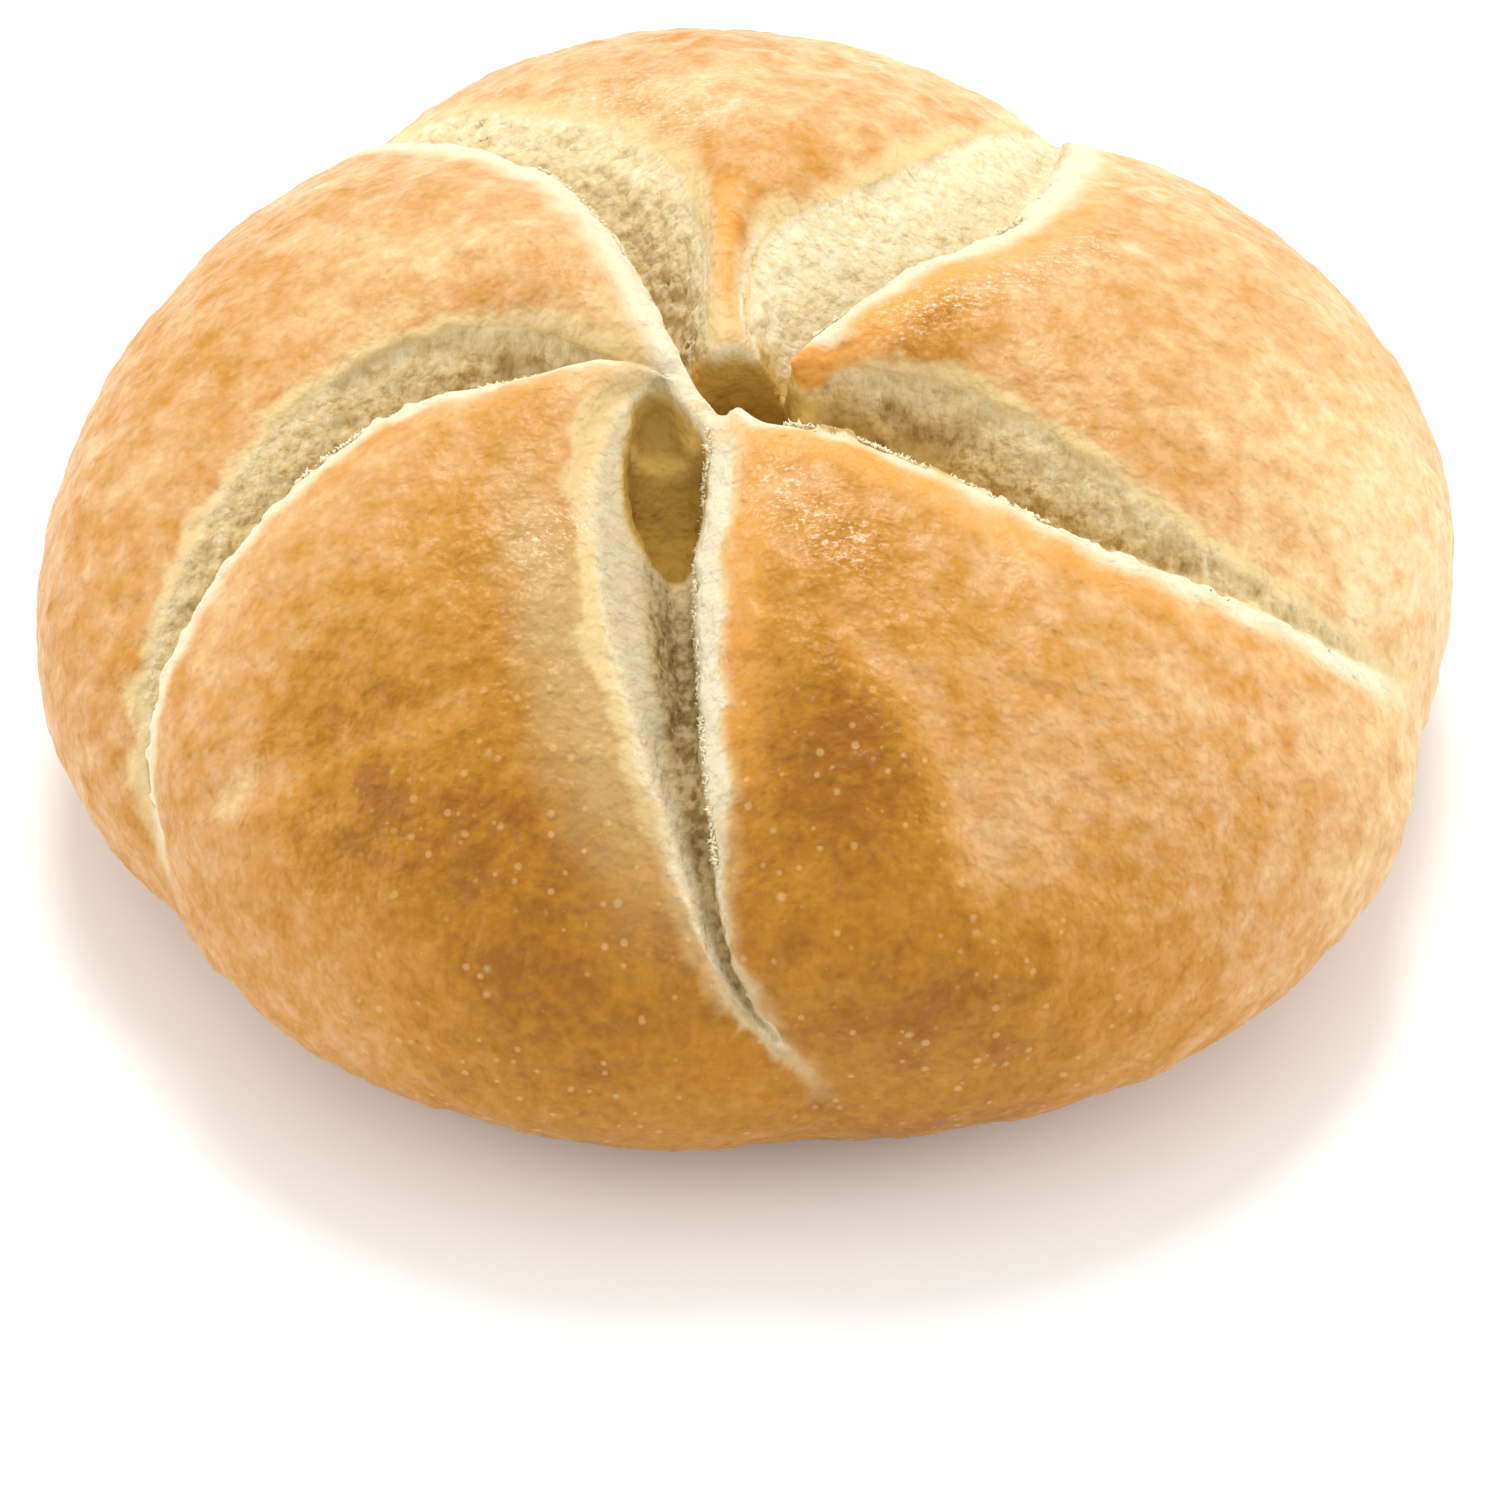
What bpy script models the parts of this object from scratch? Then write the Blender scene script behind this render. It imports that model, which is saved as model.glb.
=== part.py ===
"""A star-cut bread roll: one baked piece of dough with five puffed lobes.

Five curved cuts run out from a small hole in the crown and fade on the flanks. All bearings are
degrees anticlockwise from +X, seen from above, about the star's own axis, which stands a little
in front of the roll's middle. A climb is the angle down from that axis, seen from the star's
centre low inside the crumb: 0 is the crown and about 100 is the edge of the flat underside.
"""

from math import atan2, cos, degrees, hypot, radians, sin, sqrt

import bmesh
import bpy
from mathutils import Vector

MM = 0.001

# The whole roll
HALF_WIDTH = 49.9 * MM
BELLY_HEIGHT = 12.5 * MM
CROWN_RISE = 29.2 * MM
CROWN_POWER = 2.05
BASE_RADIUS = 30.0 * MM
# How far the outline leaves a circle: waves round the rim, with their cosine and sine parts
OUTLINE_WAVES = (
    (1, -0.0025, 0.0),
    (2, 0.018, -0.0085),
    (3, 0.0125, -0.009),
    (4, -0.0015, 0.011),
    (5, -0.005, 0.0),
)

# The star
STAR_AXIS = (-1.0 * MM, -5.5 * MM)
STAR_CENTRE_HEIGHT = 8.0 * MM
SEAM_DROP = 1.2 * MM
LOBE_PUFF = 2.6 * MM
LOBE_FULLNESS = 2.6
PUFF_FULL_CLIMB = 25.0
PUFF_FADE_CLIMBS = (80.0, 130.0)
HOLE_TOP_RADIUS = 3.9 * MM
HOLE_FOOT_RADIUS = 2.4 * MM
HOLE_DEPTH = 14.0 * MM

# The cuts, anticlockwise from the right-hand one. At each climb below, a cut has the bearings of
# its clockwise and its anticlockwise lip, and its depth in millimetres. It is open from its first
# climb to its last. Its floor lies at a share of the way from the clockwise lip to the other.
CLIMBS = (12.0, 25.0, 40.0, 55.0, 70.0, 82.0)
CUTS = (
    {
        "name": "right",
        "clockwise_lip": (323.5, 332.0, 335.0, 339.5, 345.0, 351.5),
        "anticlockwise_lip": (372.5, 364.5, 351.5, 346.5, 347.5, 352.5),
        "depth": (9.5, 8.5, 6.5, 4.5, 2.0, -1.0),
        "open": (4.0, 80.0),
        "floor": 0.3,
    },
    {
        "name": "back_right",
        "clockwise_lip": (39.0, 42.5, 43.0, 50.0, 58.5, 64.0),
        "anticlockwise_lip": (89.0, 82.5, 66.5, 62.0, 61.5, 65.5),
        "depth": (9.5, 8.5, 7.5, 5.0, 2.0, -1.0),
        "open": (4.0, 80.0),
        "floor": 0.3,
    },
    {
        "name": "back_left",
        "clockwise_lip": (104.0, 100.0, 103.0, 112.5, 121.0, 128.0),
        "anticlockwise_lip": (134.5, 121.0, 118.5, 122.5, 126.5, 130.0),
        "depth": (9.5, 8.0, 7.0, 5.0, 2.5, -1.0),
        "open": (4.0, 80.0),
        "floor": 0.7,
    },
    {
        "name": "left",
        "clockwise_lip": (163.0, 155.5, 162.0, 178.5, 195.5, 207.0),
        "anticlockwise_lip": (169.0, 174.5, 180.0, 190.0, 199.5, 208.5),
        "depth": (-1.0, 6.5, 7.5, 6.5, 3.5, -1.0),
        "open": (12.0, 82.0),
        "floor": 0.7,
    },
    {
        "name": "front",
        "clockwise_lip": (180.0, 221.0, 246.0, 259.5, 268.5, 277.5),
        "anticlockwise_lip": (251.5, 256.0, 263.0, 268.5, 271.5, 279.0),
        "depth": (10.0, 11.0, 6.5, 4.5, 2.5, -1.0),
        "open": (13.0, 82.0),
        "floor": 0.65,
    },
)

# How finely the faceted solid follows the form
RINGS = 27
SEGMENTS = 72
CUT_STATIONS = 18
HOLE_SEGMENTS = 20
CUTTER_HEADROOM = 5.0 * MM
WALL_BULGE = 0.2
RAY_REACH = 80.0 * MM
RAY_HALVINGS = 30

CRUST_COLOUR = (0.72, 0.42, 0.14, 1.0)
CRUST_ROUGHNESS = 0.45
SMOOTH_ANGLE = 35.0


def along_climbs(values, climb):
    """A smooth curve through one value at each of the climbs, held level past both ends."""
    climb = min(max(climb, CLIMBS[0]), CLIMBS[-1])
    last = len(CLIMBS) - 1
    i = max(k for k in range(last) if CLIMBS[k] <= climb)
    run = CLIMBS[i + 1] - CLIMBS[i]
    t = (climb - CLIMBS[i]) / run

    def slope(k):
        before, after = max(k - 1, 0), min(k + 1, last)
        return (values[after] - values[before]) / (CLIMBS[after] - CLIMBS[before])

    start, end = slope(i) * run, slope(i + 1) * run
    return (
        values[i] * (2 * t**3 - 3 * t**2 + 1)
        + start * (t**3 - 2 * t**2 + t)
        + values[i + 1] * (3 * t**2 - 2 * t**3)
        + end * (t**3 - t**2)
    )


def share_of_lobe(bearing, climb):
    """How far a bearing lies across its lobe, from 0 to 1, or None where it lies in a cut."""
    for cut, following in zip(CUTS, CUTS[1:] + CUTS[:1]):
        start = along_climbs(cut["anticlockwise_lip"], climb)
        end = along_climbs(following["clockwise_lip"], climb)
        width = (end - start) % 360
        share = ((bearing - start) % 360) / width
        if share <= 1:
            return share
    return None


def swelling(bearing, climb):
    """How far the lobed crust stands outside the plain dome, which is below zero at a cut."""
    share = share_of_lobe(bearing, climb)
    swell = 0.0
    if share is not None:
        swell = 1 - abs(2 * share - 1) ** LOBE_FULLNESS
    swell *= LOBE_PUFF * max(min(climb / PUFF_FULL_CLIMB, 1.0), 0.25)
    start, end = PUFF_FADE_CLIMBS
    fade = min(max((end - climb) / (end - start), 0.0), 1.0)
    return (swell - SEAM_DROP) * fade


def outline_factor(angle):
    """How far the outline stands out at an angle round the roll's middle, 1 on a true circle."""
    factor = 1.0
    for waves, cosine_part, sine_part in OUTLINE_WAVES:
        factor += cosine_part * cos(waves * angle) + sine_part * sin(waves * angle)
    return factor


def outside_dome(point):
    """About how far a point lies outside the plain dome. It is below zero inside."""
    radius = hypot(point.x, point.y)
    factor = outline_factor(atan2(point.y, point.x))
    rise = point.z - BELLY_HEIGHT
    if rise >= 0:
        across, up = radius, rise
        ratio = (radius / (HALF_WIDTH * factor)) ** CROWN_POWER + (rise / CROWN_RISE) ** CROWN_POWER
        ratio = ratio ** (1 / CROWN_POWER)
    else:
        across, up = max(radius - BASE_RADIUS * factor, 0.0), rise
        flank = (HALF_WIDTH - BASE_RADIUS) * factor
        ratio = hypot(across / flank, rise / BELLY_HEIGHT)
    return (ratio - 1) * hypot(across, up) / max(ratio, 0.01)


def crust_point(bearing, climb):
    """The point of the crust in this direction from the star's centre."""
    centre = Vector((*STAR_AXIS, STAR_CENTRE_HEIGHT))
    turn, tilt = radians(bearing), radians(climb)
    ray = Vector((sin(tilt) * cos(turn), sin(tilt) * sin(turn), cos(tilt)))
    swell = swelling(bearing, climb)
    near, far = 0.0, RAY_REACH
    for _ in range(RAY_HALVINGS):
        middle = (near + far) / 2
        if outside_dome(centre + ray * middle) < swell:
            near = middle
        else:
            far = middle
    return centre + ray * near


def base_edge(bearing):
    """The point of the flat underside's edge at a bearing from the star's axis, and its climb."""
    turn = radians(bearing)
    near, far = 0.0, RAY_REACH
    for _ in range(RAY_HALVINGS):
        middle = (near + far) / 2
        x = STAR_AXIS[0] + middle * cos(turn)
        y = STAR_AXIS[1] + middle * sin(turn)
        if hypot(x, y) < BASE_RADIUS * outline_factor(atan2(y, x)):
            near = middle
        else:
            far = middle
    return Vector((x, y, 0.0)), degrees(atan2(near, -STAR_CENTRE_HEIGHT))


def make_object(name, bm):
    """A mesh object from a bmesh, with its faces pointing out."""
    bmesh.ops.recalc_face_normals(bm, faces=bm.faces[:])
    mesh = bpy.data.meshes.new(name)
    bm.to_mesh(mesh)
    bm.free()
    piece = bpy.data.objects.new(name, mesh)
    bpy.context.scene.collection.objects.link(piece)
    return piece


def join_rings(bm, rings):
    """Quads between each ring of vertices and the next."""
    for ring, following in zip(rings, rings[1:]):
        for i, vertex in enumerate(ring):
            j = (i + 1) % len(ring)
            bm.faces.new((vertex, ring[j], following[j], following[i]))


def make_dough():
    """The lobed, uncut body: rings of crust from the crown down to the flat underside."""
    bm = bmesh.new()
    bearings = [360 * i / SEGMENTS for i in range(SEGMENTS)]
    edges = [base_edge(bearing) for bearing in bearings]
    rings = []
    for k in range(1, RINGS):
        share = k / RINGS
        ring = [
            bm.verts.new(crust_point(bearing, share * last_climb))
            for bearing, (_, last_climb) in zip(bearings, edges)
        ]
        rings.append(ring)
    rings.append([bm.verts.new(place) for place, _ in edges])
    join_rings(bm, rings)
    crown = bm.verts.new(crust_point(0.0, 0.0))
    for i, vertex in enumerate(rings[0]):
        bm.faces.new((crown, vertex, rings[0][(i + 1) % SEGMENTS]))
    bm.faces.new(rings[-1])
    return make_object("bread_roll", bm)


def cut_section(cut, climb):
    """One section across a cutter: round over the crust, down one wall, and up the other."""
    clockwise = along_climbs(cut["clockwise_lip"], climb)
    anticlockwise = along_climbs(cut["anticlockwise_lip"], climb)
    depth = along_climbs(cut["depth"], climb) * MM
    centre = Vector((*STAR_AXIS, STAR_CENTRE_HEIGHT))

    def place(share, inward):
        bearing = clockwise + share * (anticlockwise - clockwise)
        point = crust_point(bearing, climb)
        return point + (centre - point).normalized() * inward

    floor = cut["floor"]
    before, after = floor / 2, (1 + floor) / 2
    return (
        place(0.0, -CUTTER_HEADROOM),
        place(0.0, 0.0),
        place(before, depth * (0.5 + WALL_BULGE)),
        place(floor, depth),
        place(after, depth * (0.5 + WALL_BULGE)),
        place(1.0, 0.0),
        place(1.0, -CUTTER_HEADROOM),
    )


def make_cutter(cut):
    """The wedge that opens one cut, lofted through sections from the crown outwards."""
    bm = bmesh.new()
    start, end = cut["open"]
    sections = []
    for k in range(CUT_STATIONS):
        climb = start + (end - start) * k / (CUT_STATIONS - 1)
        sections.append([bm.verts.new(point) for point in cut_section(cut, climb)])
    join_rings(bm, sections)
    bm.faces.new(sections[0])
    bm.faces.new(sections[-1])
    return make_object("cutter_" + cut["name"], bm)


def make_hole_cutter():
    """The tapered plug that opens the hole where the cuts meet."""
    bm = bmesh.new()
    crown = crust_point(0.0, 0.0)
    height = HOLE_DEPTH + CUTTER_HEADROOM
    bmesh.ops.create_cone(
        bm,
        cap_ends=True,
        segments=HOLE_SEGMENTS,
        radius1=HOLE_FOOT_RADIUS,
        radius2=HOLE_TOP_RADIUS,
        depth=height,
    )
    lift = crown + Vector((0, 0, height / 2 - HOLE_DEPTH))
    bmesh.ops.translate(bm, verts=bm.verts[:], vec=lift)
    return make_object("cutter_hole", bm)


def crust_material():
    """Baked wheat crust, golden and faintly glossy."""
    material = bpy.data.materials.new("crust")
    material.use_nodes = True
    shader = material.node_tree.nodes["Principled BSDF"]
    shader.inputs["Base Color"].default_value = CRUST_COLOUR
    shader.inputs["Roughness"].default_value = CRUST_ROUGHNESS
    shader.inputs["Metallic"].default_value = 0.0
    material.diffuse_color = CRUST_COLOUR
    return material


def cut_away(piece, cutter):
    """Takes a cutter out of a piece, and leaves the cutter as a wire guide."""
    cutter.hide_render = True
    cutter.display_type = "WIRE"
    boolean = piece.modifiers.new(cutter.name, "BOOLEAN")
    boolean.operation = "DIFFERENCE"
    boolean.solver = "EXACT"
    boolean.object = cutter


def middle_of(piece):
    """The middle of a piece's box, seen from above."""
    xs = [vertex.co.x for vertex in piece.data.vertices]
    ys = [vertex.co.y for vertex in piece.data.vertices]
    return Vector(((min(xs) + max(xs)) / 2, (min(ys) + max(ys)) / 2, 0.0))


def main():
    for leftover in list(bpy.data.objects):
        bpy.data.objects.remove(leftover, do_unlink=True)

    roll = make_dough()
    roll.data.materials.append(crust_material())
    cutters = [make_cutter(cut) for cut in CUTS] + [make_hole_cutter()]
    for cutter in cutters:
        cut_away(roll, cutter)
    roll.data.shade_smooth()
    roll.data.set_sharp_from_angle(angle=radians(SMOOTH_ANGLE))

    # The roll stands with the middle of its box over the origin.
    middle = middle_of(roll)
    for piece in [roll] + cutters:
        piece.location = -middle


main()
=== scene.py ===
"""The looks of the star-cut bread roll: its crust, torn crumb, floor, light and camera.

The form is worked out in millimetres as a field that is below zero inside the dough, meshed on a
fine grid, and scaled to metres at the end. Bearings and climbs are degrees, as in the solid: a
bearing is anticlockwise from +X about the star's axis, and a climb is the angle down from it.
"""

import bpy
import numpy as np
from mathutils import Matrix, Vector


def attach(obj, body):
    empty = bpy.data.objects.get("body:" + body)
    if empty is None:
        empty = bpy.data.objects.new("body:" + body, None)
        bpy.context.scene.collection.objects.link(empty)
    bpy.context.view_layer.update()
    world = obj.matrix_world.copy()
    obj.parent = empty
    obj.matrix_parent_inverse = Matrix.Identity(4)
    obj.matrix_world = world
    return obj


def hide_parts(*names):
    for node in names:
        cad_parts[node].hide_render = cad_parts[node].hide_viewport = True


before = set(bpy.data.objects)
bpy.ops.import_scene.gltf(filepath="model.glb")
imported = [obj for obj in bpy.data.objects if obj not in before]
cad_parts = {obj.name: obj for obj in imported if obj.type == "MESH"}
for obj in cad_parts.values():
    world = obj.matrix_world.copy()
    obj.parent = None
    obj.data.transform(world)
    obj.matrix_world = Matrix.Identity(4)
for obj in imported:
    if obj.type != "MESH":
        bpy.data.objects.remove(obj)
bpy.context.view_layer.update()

MM = 0.001

# --------------------------------------------------------------------------------------------
# The form that the solid also has
# --------------------------------------------------------------------------------------------

HALF_WIDTH = 49.9
BELLY_HEIGHT = 12.5
CROWN_RISE = 29.2
CROWN_POWER = 2.05
BASE_RADIUS = 30.0
OUTLINE_WAVES = (
    (1, -0.0025, 0.0),
    (2, 0.018, -0.0085),
    (3, 0.0125, -0.009),
    (4, -0.0015, 0.011),
    (5, -0.005, 0.0),
)

STAR_AXIS = (-1.0, -5.5)
STAR_CENTRE_HEIGHT = 8.0
SEAM_DROP = 1.2
LOBE_PUFF = 2.6
LOBE_FULLNESS = 2.6
PUFF_FULL_CLIMB = 25.0
PUFF_FADE_CLIMBS = (80.0, 130.0)
FOOT_SWELL = 0.75

CLIMBS = (5.0, 12.0, 25.0, 40.0, 55.0, 70.0, 82.0)
# A cut's "near" lip is the one that stands in front of it as the roll is looked at. "wall" is the
# share of the cut's depth at each share of the way across, from the far lip to the near one.
# The crumb's tone is how much darker and greener its crumb is painted, partly its own colour and
# partly painted shade inside the cut, "tear" is how rough it is, and "lip_band" is how far the
# bright torn rim of the near lip reaches into the cut and over the crust. "pale_bands" are the
# widths of the pale crust beside the far lip and the near one, "orange" is how orange the crust
# beyond the near one is, and "shade" is the depth below which the crumb is painted darker as shade.
CUTS = (
    {
        "name": "right",
        "clockwise_lip": (290.0, 323.5, 332.0, 335.0, 339.5, 345.0, 351.5),
        "anticlockwise_lip": (382.0, 372.5, 364.5, 351.5, 346.5, 347.5, 352.5),
        "depth": (5.5, 7.0, 7.5, 6.0, 2.8, 0.9, 0.0),
        "open": (0.0, 78.0),
        "near": "clockwise_lip",
        "wall": ((0.0, 0.0), (0.04, 0.12), (0.3, 0.5), (0.62, 0.92), (0.76, 1.0), (0.9, 0.9), (1.0, 0.0)),
        "outer_wall": ((0.0, 0.0), (0.25, 0.4), (0.55, 1.0), (0.8, 0.6), (1.0, 0.0)),
        "crumb_tone_and_shade": 0.85,
        "tear": 1.0,
        "lip_band": (0.6, 1.5),
        "pale_bands": (0.5, 2.3),
        "orange": 0.8,
        "shade": 3.8,
    },
    {
        "name": "back_right",
        "clockwise_lip": (27.0, 39.0, 42.5, 43.0, 50.0, 58.5, 64.0),
        "anticlockwise_lip": (72.0, 84.0, 82.5, 66.5, 62.0, 61.5, 65.5),
        "depth": (5.5, 6.5, 7.0, 6.5, 4.0, 1.5, 0.0),
        "open": (0.0, 74.0),
        "near": "clockwise_lip",
        "wall": ((0.0, 0.0), (0.05, 0.15), (0.3, 0.45), (0.7, 0.92), (0.82, 1.0), (0.92, 0.8), (1.0, 0.0)),
        "crumb_tone_and_shade": 0.25,
        "tear": 0.8,
        "lip_band": (0.5, 2.6),
        "pale_bands": (1.2, 2.8),
        "orange": 0.9,
        "shade": 9.0,
    },
    {
        "name": "back_left",
        "clockwise_lip": (118.0, 107.0, 98.5, 101.0, 112.0, 121.0, 128.0),
        "anticlockwise_lip": (165.0, 134.5, 121.0, 118.5, 122.5, 126.5, 130.0),
        "depth": (5.5, 7.0, 7.5, 6.5, 4.0, 2.0, 0.0),
        "open": (0.0, 76.0),
        "near": "anticlockwise_lip",
        "wall": ((0.0, 0.0), (0.05, 0.15), (0.35, 0.55), (0.68, 0.95), (0.8, 1.0), (0.9, 0.75), (1.0, 0.0)),
        "crumb_tone_and_shade": 0.5,
        "tear": 1.7,
        "lip_band": (0.5, 3.4),
        "pale_bands": (1.6, 3.6),
        "orange": 0.0,
        "shade": 9.0,
    },
    {
        "name": "left",
        "clockwise_lip": (170.0, 163.0, 155.5, 162.0, 178.5, 195.5, 207.0),
        "anticlockwise_lip": (175.0, 169.0, 174.5, 180.0, 190.0, 199.5, 208.5),
        "depth": (0.0, 0.0, 6.0, 7.0, 6.0, 3.5, 0.0),
        "open": (14.0, 82.0),
        "near": "anticlockwise_lip",
        "wall": ((0.0, 0.0), (0.05, 0.15), (0.35, 0.55), (0.65, 0.92), (0.78, 1.0), (0.9, 0.85), (1.0, 0.0)),
        "crumb_tone_and_shade": 0.82,
        "tear": 1.3,
        "lip_band": (0.6, 1.8),
        "pale_bands": (0.6, 2.2),
        "orange": 0.3,
        "shade": 9.0,
    },
    {
        "name": "front",
        "clockwise_lip": (180.0, 180.0, 221.0, 246.0, 259.0, 267.5, 277.0),
        "anticlockwise_lip": (255.0, 267.5, 266.0, 267.2, 268.7, 270.9, 278.8),
        "depth": (0.0, 5.0, 6.0, 5.6, 3.4, 1.4, 0.0),
        "open": (9.0, 82.0),
        "near": "anticlockwise_lip",
        "wall": (
            (0.0, 0.0),
            (0.15, 0.1),
            (0.4, 0.26),
            (0.47, 0.6),
            (0.55, 0.95),
            (0.63, 1.0),
            (0.72, 0.9),
            (0.78, 0.45),
            (0.82, 0.25),
            (1.0, 0.0),
        ),
        "outer_wall": ((0.0, 0.0), (0.2, 0.22), (0.3, 0.75), (0.5, 1.0), (0.68, 0.8), (0.78, 0.25), (1.0, 0.0)),
        "crumb_tone_and_shade": 0.4,
        "tear": 0.8,
        "lip_band": (2.0, 0.0),
        "pale_bands": (0.6, 1.1),
        "orange": 0.5,
        "shade": 2.2,
    },
)

# --------------------------------------------------------------------------------------------
# What only the looks have
# --------------------------------------------------------------------------------------------

GRID_STEP = 0.32
BLOCK = 4
GRID_LOW = (-55.0, -55.0, -2.0)
GRID_HIGH = (55.0, 55.0, 47.0)
MOST_TRIANGLES = 196000

CROWN = BELLY_HEIGHT + CROWN_RISE - SEAM_DROP
# The hole in the crown, the pocket in the front cut, and the thin low ridge that parts them. All are
# placed from the star's axis.
HOLE_MIDDLE = (0.4, 0.45)
HOLE_HALF_SIZE = (3.6, 2.9)
HOLE_DEPTH = 10.0
POCKET_MIDDLE = (-4.9, -5.7)
POCKET_HALF_SIZE = (2.5, 6.2)
POCKET_DEPTHS = (4.0, 9.5)
RIDGE_START = (-4.3, 1.2)
RIDGE_END = (-2.1, -2.3)
RIDGE_HALF_WIDTH = 0.75
RIDGE_TOP = -0.2
RIDGE_FALL = 0.2

rng = np.random.default_rng(7)
LATTICE = 64
lattice = rng.uniform(-1, 1, (LATTICE, LATTICE, LATTICE)).astype(np.float32)


def noise(points, size, shift=0.0):
    """Smooth noise between about -1 and 1, whose blobs are about this many millimetres across."""
    p = points / size + shift
    cell = np.floor(p).astype(np.int32)
    t = p - cell
    t = t * t * (3 - 2 * t)
    low, high = cell % LATTICE, (cell + 1) % LATTICE
    x0, y0, z0 = low.T
    x1, y1, z1 = high.T
    tx, ty, tz = t.T
    c00 = lattice[x0, y0, z0] * (1 - tx) + lattice[x1, y0, z0] * tx
    c10 = lattice[x0, y1, z0] * (1 - tx) + lattice[x1, y1, z0] * tx
    c01 = lattice[x0, y0, z1] * (1 - tx) + lattice[x1, y0, z1] * tx
    c11 = lattice[x0, y1, z1] * (1 - tx) + lattice[x1, y1, z1] * tx
    return (c00 * (1 - ty) + c10 * ty) * (1 - tz) + (c01 * (1 - ty) + c11 * ty) * tz


def smooth_step(low, high, x):
    t = np.clip((x - low) / (high - low), 0, 1)
    return t * t * (3 - 2 * t)


TABLE_STEP = 0.1
TABLE_CLIMBS = np.arange(0, 184, TABLE_STEP)


def along_climbs(values, climbs):
    """A smooth curve through one value at each of the climbs, held level past both ends."""
    x, y = np.array(CLIMBS), np.array(values, float)
    last = len(x) - 1
    before, after = np.maximum(np.arange(last + 1) - 1, 0), np.minimum(np.arange(last + 1) + 1, last)
    slope = (y[after] - y[before]) / (x[after] - x[before])
    climbs = np.clip(climbs, x[0], x[-1])
    i = np.clip(np.searchsorted(x, climbs, side="right") - 1, 0, last - 1)
    run = x[i + 1] - x[i]
    t = (climbs - x[i]) / run
    return (
        y[i] * (2 * t**3 - 3 * t**2 + 1)
        + slope[i] * run * (t**3 - 2 * t**2 + t)
        + y[i + 1] * (3 * t**2 - 2 * t**3)
        + slope[i + 1] * run * (t**3 - t**2)
    )


tables = {
    (cut["name"], key): along_climbs(cut[key], TABLE_CLIMBS).astype(np.float32)
    for cut in CUTS
    for key in ("clockwise_lip", "anticlockwise_lip", "depth")
}


def looked_up(cut, key, climb):
    return tables[cut["name"], key][(climb / TABLE_STEP).astype(np.int32)]


def star_coordinates(points):
    """Each point's distance from the star's axis, its bearing and its climb."""
    x = points[:, 0] - STAR_AXIS[0]
    y = points[:, 1] - STAR_AXIS[1]
    radius = np.hypot(x, y)
    bearing = np.degrees(np.arctan2(y, x))
    climb = np.degrees(np.arctan2(radius, points[:, 2] - STAR_CENTRE_HEIGHT))
    return radius, bearing, climb


def outside_dome(points):
    x, y, z = points.T
    radius = np.hypot(x, y)
    angle = np.arctan2(y, x)
    factor = 1.0
    for waves, cosine_part, sine_part in OUTLINE_WAVES:
        factor = factor + cosine_part * np.cos(waves * angle) + sine_part * np.sin(waves * angle)
    rise = z - BELLY_HEIGHT
    above = (radius / (HALF_WIDTH * factor)) ** CROWN_POWER
    above = (above + (np.abs(rise) / CROWN_RISE) ** CROWN_POWER) ** (1 / CROWN_POWER)
    across = np.maximum(radius - BASE_RADIUS * factor, 0)
    below = np.hypot(across / ((HALF_WIDTH - BASE_RADIUS) * factor), rise / BELLY_HEIGHT)
    upper = (above - 1) * np.hypot(radius, rise) / np.maximum(above, 0.01)
    lower = (below - 1) * np.hypot(across, rise) / np.maximum(below, 0.01)
    return np.where(rise >= 0, upper, lower)


def lobe_shares(bearing, climb):
    """How far each point lies across its lobe, from 0 to 1, below zero in a cut, and which lobe."""
    shares = np.full(len(bearing), -1.0, np.float32)
    lobes = np.zeros(len(bearing), np.int32)
    for k, (cut, following) in enumerate(zip(CUTS, CUTS[1:] + CUTS[:1])):
        start = looked_up(cut, "anticlockwise_lip", climb)
        width = (looked_up(following, "clockwise_lip", climb) - start) % 360
        share = ((bearing - start) % 360) / width
        inside = share <= 1
        shares[inside] = share[inside]
        lobes[inside] = k
    return shares, lobes


def swelling(shares, climb):
    swell = np.where(shares >= 0, 1 - np.abs(2 * np.clip(shares, 0, 1) - 1) ** LOBE_FULLNESS, 0)
    low_down = smooth_step(86, 102, climb)
    swell = swell * (1 - low_down) + FOOT_SWELL * low_down
    swell = swell * LOBE_PUFF * np.clip(climb / PUFF_FULL_CLIMB, 0.25, 1)
    start, end = PUFF_FADE_CLIMBS
    return (swell - SEAM_DROP) * np.clip((end - climb) / (end - start), 0, 1)


def skin_distance(points):
    """How far each point lies outside the roll as it was before it was cut."""
    _, bearing, climb = star_coordinates(points)
    shares, _ = lobe_shares(bearing, climb)
    return outside_dome(points) - swelling(shares, climb)


MM_PER_CLIMB = 0.62


def lip_distances(cut, radius, bearing, climb):
    """How far inside the cut each point lies from its far lip and its near lip."""
    distances = []
    for key, sign in (("clockwise_lip", 1), ("anticlockwise_lip", -1)):
        lip = looked_up(cut, key, climb)
        turn = (bearing - lip + 180) % 360 - 180
        steep = (looked_up(cut, key, climb + 2) - lip) / 2
        lean = 1 / np.sqrt(1 + (radius * np.radians(steep) / MM_PER_CLIMB) ** 2)
        distances.append(sign * turn * np.radians(radius) * lean)
    if cut["near"] == "clockwise_lip":
        distances.reverse()
    return distances


def wall_shape(cut, share, climb):
    inner = np.interp(share, *np.transpose(cut["wall"]))
    if "outer_wall" not in cut:
        return inner
    outer = np.interp(share, *np.transpose(cut["outer_wall"]))
    return inner + (outer - inner) * smooth_step(40, 54, climb)


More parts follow.
